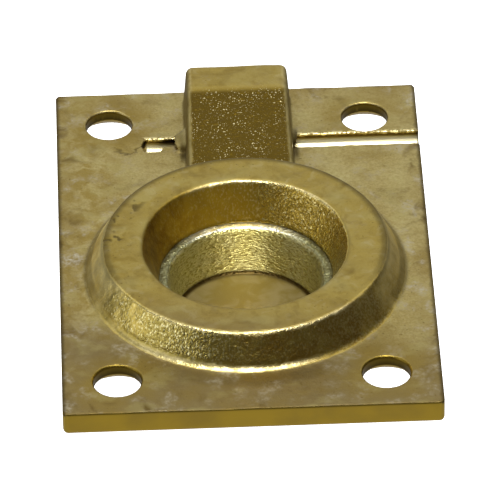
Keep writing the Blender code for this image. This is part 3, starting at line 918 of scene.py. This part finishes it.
# a painted highlight, for edges and for the groove's far lip
EDGE_HIGHLIGHT = (0.80, 0.68, 0.34)
DRILLED = (0.88, 0.80, 0.50)
# painted glints, on the roof and on the grainy slopes
ROOF_GLINT = (0.95, 0.84, 0.46)
GLINT = (0.97, 0.89, 0.48)
LEMON = (0.38, 0.305, 0.075)
SATIN = (0.62, 0.52, 0.24)
# painted shade: the first on the roof, the holes' walls and the lug's sides; the second, darker, on the
# ring's slope and the opening's wall
SHADED = (0.105, 0.068, 0.009)
DEEP_SHADE = (0.19, 0.10, 0.008)
# Its film: on the plate, on the ring's flat top, on the cone.
FILM = (0.33, 0.262, 0.09)
FILM_PALE = (0.42, 0.36, 0.155)
FILM_DARK_GRAIN = (0.27, 0.20, 0.065)
FILM_PALE_GRAIN = (0.52, 0.46, 0.24)
FILM_DARK_SMEAR = (0.22, 0.155, 0.035)
FILM_PALE_SMEAR = (0.38, 0.335, 0.13)
TOP_GOLD = (0.33, 0.235, 0.035)
TOP_OLIVE = (0.30, 0.235, 0.065)
TOP_DARK = (0.21, 0.14, 0.025)
TOP_PALE = (0.42, 0.36, 0.17)
CONE_FILM_PALE = (0.87, 0.73, 0.30)
CONE_FILM_GOLD = (0.73, 0.56, 0.165)
# Browner film: at the left, near the camera, round the screw holes, along the edges.
LEFT_BROWN = (0.24, 0.165, 0.025)
NEAR_BROWN = (0.20, 0.135, 0.035)
NEAR_GREY = (0.16, 0.125, 0.07)
HOLE_BROWN = (0.24, 0.17, 0.035)
EDGE_BROWN = (0.24, 0.175, 0.055)
# What lies on it; the darkest brown is for grime and also for painted shade.
RESIDUE = (0.43, 0.39, 0.28)
STAIN = (0.13, 0.085, 0.02)
DIRT_AND_SHADE = (0.045, 0.028, 0.006)
# The turned cup, with colours for painted shade, a painted reflection and a painted highlight among them.
WALL_PALE = (0.60, 0.56, 0.24)
WALL_OLIVE = (0.52, 0.49, 0.25)
# painted shade for the wall's right part, and a paler painted reflection for its sides
WALL_SHADE = (0.27, 0.24, 0.09)
WALL_PALE_REFLECTION = (0.56, 0.56, 0.35)
WALL_RIPPLE = (0.20, 0.16, 0.04)
CUP_OUTSIDE = (0.62, 0.48, 0.18)
CUP_FLOOR = (0.235, 0.18, 0.055)
CUP_FLOOR_STREAK = (0.34, 0.29, 0.16)
RIM_DARK = (0.20, 0.19, 0.08)
RIM_PALE = (0.34, 0.34, 0.19)
# painted highlight for the rim's far side
RIM_HIGHLIGHT = (0.74, 0.73, 0.58)
CORNER_SHADE = (0.05, 0.034, 0.01)


class Graph:
    """A new material or world, and the nodes before its shader."""

    def __init__(self, name, kind="materials", shader="Principled BSDF"):
        self.owner = getattr(bpy.data, kind).new(name)
        self.owner.use_nodes = True
        self.tree = self.owner.node_tree
        self.shader = self.tree.nodes[shader]
        self.coordinates = self.add("ShaderNodeTexCoord").outputs
        self.place = self.coordinates["Object"]

    def add(self, kind, values=(), **settings):
        made = self.tree.nodes.new(kind)
        for name, value in settings.items():
            setattr(made, name, value)
        for socket, value in dict(values).items():
            self.set(made.inputs[socket], value)
        return made

    def set(self, socket, value):
        if isinstance(value, bpy.types.NodeSocket):
            self.tree.links.new(value, socket)
        elif isinstance(value, tuple) and len(value) == 3 and socket.type == "RGBA":
            socket.default_value = (*value, 1)
        else:
            socket.default_value = value

    def layer(self, name):
        return self.add("ShaderNodeAttribute", attribute_name=name).outputs["Fac"]

    def stretched(self, scale):
        return self.add("ShaderNodeMapping", {"Vector": self.place, "Scale": scale}).outputs[0]

    def noise(self, size, detail=2, place=None, **values):
        inputs = {"Vector": place or self.place, "Scale": 1 / size, "Detail": detail}
        return self.add("ShaderNodeTexNoise", {**inputs, **values}).outputs["Fac"]

    def step(self, value, low, high, to_low=0, to_high=1):
        inputs = {"Value": value, "From Min": low, "From Max": high, "To Min": to_low, "To Max": to_high}
        return self.add("ShaderNodeMapRange", inputs, interpolation_type="SMOOTHSTEP").outputs[0]

    def math(self, operation, first, second):
        return self.add("ShaderNodeMath", {0: first, 1: second}, operation=operation).outputs[0]

    def times(self, *values):
        total = values[0]
        for value in values[1:]:
            total = self.math("MULTIPLY", total, value)
        return total

    def mix(self, share, first, second):
        """Numbers or colours, by share."""
        if isinstance(first, tuple) or getattr(first, "type", "") == "RGBA":
            made = self.add("ShaderNodeMix", {0: share, 6: first, 7: second}, data_type="RGBA")
            return made.outputs[2]
        return self.add("ShaderNodeMix", {0: share, 2: first, 3: second}).outputs[0]

    def coats(self, colour, *layers):
        """A colour under layers of (share, colour), laid on one after another."""
        for share, over in layers:
            colour = self.mix(share, colour, over)
        return colour

    def finish(self, colour, roughness, bumps):
        """bumps are pairs of a height from 0 to 1 and its depth in metres."""
        normal = None
        for height, depth in bumps:
            values = {"Height": height, "Distance": depth, "Strength": 1.0}
            if normal:
                values["Normal"] = normal
            normal = self.add("ShaderNodeBump", values).outputs[0]
        self.set(self.shader.inputs["Base Color"], colour)
        self.set(self.shader.inputs["Roughness"], roughness)
        self.set(self.shader.inputs["Metallic"], 1.0)
        if normal:
            self.set(self.shader.inputs["Normal"], normal)
        return self.owner


def film_on_flats(g, clouds, speckle, smears, mottle):
    """The olive film of the back: cloudy and grainy, golden on the ring's top, browner by holes and edges."""
    gold = g.layer("gold")
    return g.coats(
        g.mix(g.step(clouds, 0.35, 0.7), FILM, FILM_PALE),
        (g.step(speckle, 0.35, 0.65, 0, 0.5), FILM_DARK_GRAIN),
        (g.step(g.noise(0.26 * MM, 2), 0.4, 0.66, 0, 0.22), FILM_PALE_GRAIN),
        (g.times(gold, 0.8), g.mix(clouds, TOP_GOLD, TOP_OLIVE)),
        (g.times(gold, g.step(mottle, 0.5, 0.7, 0, 0.5)), TOP_DARK),
        (g.times(g.layer("left"), g.step(mottle, 0.38, 0.6, 0, 0.65)), LEFT_BROWN),
        (g.times(gold, g.step(mottle, 0.44, 0.3, 0, 0.4)), TOP_PALE),
        (g.times(g.layer("near"), 0.8), g.mix(clouds, NEAR_BROWN, NEAR_GREY)),
        (g.times(g.layer("halo"), g.step(clouds, 0.7, 0.35, 0.35, 0.85)), HOLE_BROWN),
        (g.times(g.layer("edge"), g.step(clouds, 0.2, 0.6, 0.75, 0.25)), EDGE_BROWN),
        (g.step(smears, 0.5, 0.7, 0, 0.4), FILM_DARK_SMEAR),
        (g.step(smears, 0.48, 0.32, 0, 0.3), FILM_PALE_SMEAR),
    )


def cast_brass():
    """As-cast brass: olive film, dried polish and stains on flats, glittering grain on slopes and roof;
    painted glints, painted highlights along edges, and painted shade on the roof, in recesses and on the
    ring's slope.
    """
    g = Graph("cast_brass")
    film = g.layer("film")
    cone_film = g.layer("cone_film")
    grain = g.layer("grain")
    edge = g.layer("edge")
    glitter = g.layer("glitter")
    spark = g.layer("spark")
    buffed = g.layer("buffed")
    clouds = g.noise(6 * MM, 4)
    patches = g.noise(2.4 * MM, 6, Distortion=0.2)
    smears = g.noise(2.6 * MM, 5, g.stretched((0.6, 1, 1)))
    mottle = g.noise(1.7 * MM, 6, Distortion=0.6)
    speckle = g.noise(0.5 * MM, 3)
    fine = g.noise(0.22 * MM, 2)

    any_film = g.math("MAXIMUM", film, g.times(cone_film, 0.8))
    by_edges = g.math("ADD", g.math("ADD", g.layer("corner"), edge), 0.8)
    off_the_top = g.math("SUBTRACT", 1.4, g.layer("gold"))
    flecks = g.times(g.step(patches, 0.5, 0.72), g.step(speckle, 0.35, 0.65, 0.15, 1))
    stains = g.times(film, g.step(g.noise(3.3 * MM, 8, Distortion=0.8), 0.52, 0.78), g.math("ADD", edge, 0.5))
    pits = g.times(film, g.step(g.noise(0.42 * MM, 2), 0.64, 0.74), g.step(clouds, 0.6, 0.4))
    dots = g.step(g.noise(0.19 * MM, 1), 0.635, 0.73)
    crowd = g.step(g.noise(2.2 * MM, 3), 0.38, 0.62, 0.12, 1)
    glints = g.step(g.noise(0.24 * MM, 3, g.stretched((1, 1, 0.6))), 0.5, 0.68, 0, 0.75)
    # painted highlight along the groove's far lip
    lip_highlight = g.times(g.layer("lip"), g.step(g.noise(0.4 * MM, 2), 0.42, 0.56))
    colour = g.coats(
        g.mix(film, CLEAN, film_on_flats(g, clouds, speckle, smears, mottle)),
        (cone_film, g.mix(g.step(smears, 0.4, 0.62), CONE_FILM_PALE, CONE_FILM_GOLD)),
        (g.times(any_film, by_edges, off_the_top, flecks, 0.36), RESIDUE),
        (g.times(stains, 0.75), STAIN),
        (g.times(pits, 0.6), STAIN),
        # painted shade on the roof, the holes' walls and the lug's sides
        (g.layer("shade"), SHADED),
        (g.layer("lemon"), LEMON),
        # painted shade, darker, on the raised ring's slope and on the opening's wall
        (g.times(g.layer("deep"), g.step(mottle, 0.3, 0.65, 0.65, 1.1)), DEEP_SHADE),
        (g.times(g.layer("satin"), g.step(g.noise(0.28 * MM, 3), 0.42, 0.66, 0, 0.4)), SATIN),
        # painted glints on the roof and on the grainy slopes
        (g.times(glitter, dots, crowd), ROOF_GLINT),
        (g.times(spark, glints), GLINT),
        # painted highlights along edges and on the groove's far lip
        (g.times(g.layer("worn"), g.step(g.noise(0.9 * MM, 3), 0.3, 0.6, 0.35, 1)), EDGE_HIGHLIGHT),
        (lip_highlight, EDGE_HIGHLIGHT),
        (buffed, g.mix(g.step(clouds, 0.35, 0.7), BUFFED, BUFFED_DARK)),
        (g.layer("machined"), DRILLED),
        # grime, and painted shade in corners, holes and along edges
        (g.layer("dirt"), DIRT_AND_SHADE),
    )
    roughness = g.mix(any_film, 0.36, 0.5)
    roughness = g.coats(
        g.mix(g.step(clouds, 0.3, 0.7), roughness, g.math("ADD", roughness, 0.07)),
        (glitter, 0.28),
        (spark, 0.24),
        (buffed, 0.33),
        (lip_highlight, 0.25),
    )
    bumps = [
        (g.times(fine, g.math("ADD", grain, 0.05)), 0.07 * MM),
        (g.times(speckle, g.math("ADD", grain, 0.08)), 0.08 * MM),
        (g.times(g.noise(0.24 * MM, 2), spark), 0.05 * MM),
    ]
    return g.finish(colour, roughness, bumps)


def turned_wall():
    """The cup's wall: turned, with chatter marks round it, so that its highlight runs up and down; painted
    shade on its right part and at its foot, and a paler painted reflection on its sides.
    """
    g = Graph("turned_brass_wall")
    clouds = g.noise(3 * MM, 4)
    ripple = g.noise(0.48 * MM, 3, g.stretched((1, 1, 2.4)))
    colour = g.coats(
        g.mix(g.step(clouds, 0.35, 0.7), WALL_PALE, WALL_OLIVE),
        # painted shade on the right part, and a paler painted reflection on the sides
        (g.times(g.layer("dull"), 0.5), WALL_SHADE),
        (g.times(g.layer("pale"), 0.5), WALL_PALE_REFLECTION),
        (g.step(ripple, 0.54, 0.36, 0, 0.7), WALL_RIPPLE),
        # painted shade at the wall's foot
        (g.layer("shade"), CORNER_SHADE),
    )
    roughness = g.mix(g.step(clouds, 0.3, 0.7), 0.31, 0.39)
    around_axis = g.add("ShaderNodeTangent", direction_type="RADIAL", axis="Z").outputs[0]
    g.set(g.shader.inputs["Tangent"], around_axis)
    g.set(g.shader.inputs["Anisotropic"], 0.85)
    g.set(g.shader.inputs["Anisotropic Rotation"], 0.25)
    return g.finish(colour, roughness, [(ripple, 0.2 * MM)])


def turned_brass():
    """The rest of the cup: a matte floor with dried polish, a pale rough rim with a painted highlight on its
    far side, painted shade in the floor's corner and round the rim, and a smooth outside.
    """
    g = Graph("turned_brass")
    film = g.layer("film")
    rim = g.layer("residue")
    grains = g.noise(0.3 * MM, 3)
    streaks = g.times(film, g.step(g.noise(2.4 * MM, 4, Distortion=0.5), 0.42, 0.72))
    rim_colour = g.mix(g.step(grains, 0.35, 0.65), RIM_DARK, RIM_PALE)
    colour = g.coats(
        g.mix(film, CUP_OUTSIDE, CUP_FLOOR),
        (g.times(streaks, 0.5), CUP_FLOOR_STREAK),
        # painted highlight on the rim's far side
        (rim, g.mix(g.layer("bright"), rim_colour, RIM_HIGHLIGHT)),
        # painted shade in the floor's corner and round the rim's outer edge
        (g.layer("shade"), CORNER_SHADE),
    )
    roughness = g.mix(g.layer("buffed"), g.mix(film, 0.34, 0.6), 0.2)
    rough = g.times(grains, g.math("ADD", rim, g.times(film, 0.1)))
    return g.finish(colour, roughness, [(rough, 0.16 * MM), (g.noise(0.2 * MM, 2), 0.006 * MM)])


def smooth_brass(name, colour, tarnish, roughness):
    """Polished or drawn brass with faint fine scratches and a little tarnish."""
    g = Graph(name)
    clouds = g.step(g.noise(5 * MM, 4), 0.4, 0.75)
    scratches = g.noise(0.3 * MM, 4, g.stretched((0.15, 1, 1)))
    shown = g.mix(g.times(clouds, 0.6), colour, tarnish)
    rough = g.math("ADD", g.times(clouds, 0.12), roughness)
    return g.finish(shown, rough, [(scratches, 0.006 * MM)])


def make_materials():
    """Each material by its slot's name, but for the cup's wall, which has no slot of its own."""
    materials = {"cast_brass": cast_brass(), "turned_brass": turned_brass(), "turned_wall": turned_wall()}
    for name, colour, tarnish, roughness in (
        ("polished_brass", (0.66, 0.47, 0.12), (0.50, 0.34, 0.08), 0.16),
        ("pin_brass", (0.62, 0.45, 0.13), (0.40, 0.27, 0.07), 0.28),
        ("spring_bronze", (0.48, 0.29, 0.10), (0.33, 0.18, 0.06), 0.3),
    ):
        materials[name] = smooth_brass(name, colour, tarnish, roughness)
    return materials


# ------------ camera, light, floor
def make_camera():
    """A long lens from the near side, 38 degrees up, a little to the left and rolled by a degree."""
    data = bpy.data.cameras.new("camera")
    camera = bpy.data.objects.new("camera", data)
    bpy.context.scene.collection.objects.link(camera)
    ahead = Vector((math.sin(CAMERA_SWING), math.cos(CAMERA_SWING), 0))
    look = math.cos(CAMERA_ELEVATION) * ahead - math.sin(CAMERA_ELEVATION) * Vector((0, 0, 1))
    right = Vector((ahead.y, -ahead.x, 0))
    up = right.cross(look)
    rolled_right = math.cos(CAMERA_ROLL) * right - math.sin(CAMERA_ROLL) * up
    rolled_up = math.sin(CAMERA_ROLL) * right + math.cos(CAMERA_ROLL) * up
    turn = Matrix((rolled_right, rolled_up, -look)).transposed().to_4x4()
    camera.matrix_world = Matrix.Translation(Vector((0, 0, BACK)) - look * CAMERA_DISTANCE) @ turn
    data.sensor_width = SENSOR_WIDTH
    data.lens = SENSOR_WIDTH * PLATE_SHARE * CAMERA_DISTANCE / (2 * PLATE_X)
    data.shift_x, data.shift_y = CAMERA_SHIFT
    data.clip_start = 0.01
    data.clip_end = 10
    bpy.context.scene.camera = camera


def make_world():
    """A pale studio with soft round lights, dim elsewhere; the camera itself sees plain white."""
    g = Graph("studio", "worlds", "Background")

    def lobe(axis, inner, outer, strength):
        """Light round an axis, full within inner degrees and gone by outer."""
        inputs = {0: g.coordinates["Generated"], 1: Vector(axis).normalized()}
        along = g.add("ShaderNodeVectorMath", inputs, operation="DOT_PRODUCT").outputs["Value"]
        return g.step(along, math.cos(math.radians(outer)), math.cos(math.radians(inner)), 0, strength)

    beyond = lobe((0, 0.64, 0.77), 30, 62, 0.9)
    overhead = lobe((0, -0.3, 0.95), 10, 18, 14.0)
    low_left = lobe((-0.93, -0.28, 0.18), 18, 33, 1.4)
    below = lobe((0, 0, -1), 50, 95, 0.28)
    light = BASE_LIGHT
    for shape in (beyond, overhead, low_left, below):
        light = g.math("ADD", shape, light)
    seen = g.add("ShaderNodeLightPath").outputs["Is Camera Ray"]
    g.set(g.shader.inputs["Color"], g.mix(seen, light, 1.0))
    bpy.context.scene.world = g.owner


def make_lamp(boss):
    """A small lamp before the object, which lights the cup only."""
    data = bpy.data.lights.new("cup_lamp", "AREA")
    data.shape = "DISK"
    data.size = LAMP_SIZE
    data.energy = LAMP_POWER
    data.color = LAMP_COLOUR
    lamp = bpy.data.objects.new("cup_lamp", data)
    bpy.context.scene.collection.objects.link(lamp)
    aim = Matrix.Translation((0, CUP_Y, BOSS_FLOOR))
    towards = Vector((0, -math.cos(LAMP_ELEVATION), math.sin(LAMP_ELEVATION)))
    turn = towards.to_track_quat("Z", "Y").to_matrix().to_4x4()
    lamp.matrix_world = aim @ Matrix.Translation(LAMP_DISTANCE * towards) @ turn
    lamp.visible_camera = False
    lit = bpy.data.collections.new("lit_by_cup_lamp")
    lit.objects.link(boss)
    lamp.light_linking.receiver_collection = lit


def make_floor():
    """A lit white table, far enough below that the opened ring clears it."""
    mesh = bmesh.new()
    bmesh.ops.create_grid(mesh, x_segments=1, y_segments=1, size=FLOOR_HALF_SIZE)
    bmesh.ops.translate(mesh, vec=(0, 0, -FLOOR_BELOW), verts=mesh.verts[:])
    item = add("floor", mesh)
    material = bpy.data.materials.new("white_table")
    material.use_nodes = True
    inputs = material.node_tree.nodes["Principled BSDF"].inputs
    inputs["Base Color"].default_value = (0.8, 0.8, 0.8, 1)
    inputs["Roughness"].default_value = 1
    inputs["Emission Color"].default_value = (1, 1, 1, 1)
    inputs["Emission Strength"].default_value = 0.9
    item.data.materials.append(material)
    item.visible_glossy = False


def main():
    bpy.context.scene.view_settings.view_transform = "Standard"
    make_camera()
    make_world()
    make_floor()
    materials = make_materials()
    coil, leg = make_spring()
    housing = make_housing()
    boss = make_boss()
    pieces = [
        (housing, "housing", "housing", "cast_brass"),
        (boss, "centre_boss", "housing", "turned_brass"),
        (make_ring(), "pull_ring", "ring", "polished_brass"),
        (make_pin(), "hinge_pin", "housing", "pin_brass"),
        (coil, "torsion_spring", "housing", "spring_bronze"),
        (leg, "torsion_spring", "ring", "spring_bronze"),
    ]
    make_lamp(boss)
    for piece, node, body, slot in pieces:
        piece.data.materials.clear()
        piece.data.materials.append(materials[slot])
        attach(piece, body)
        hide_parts(node)
    give_wall_its_own(boss, materials["turned_wall"])


main()
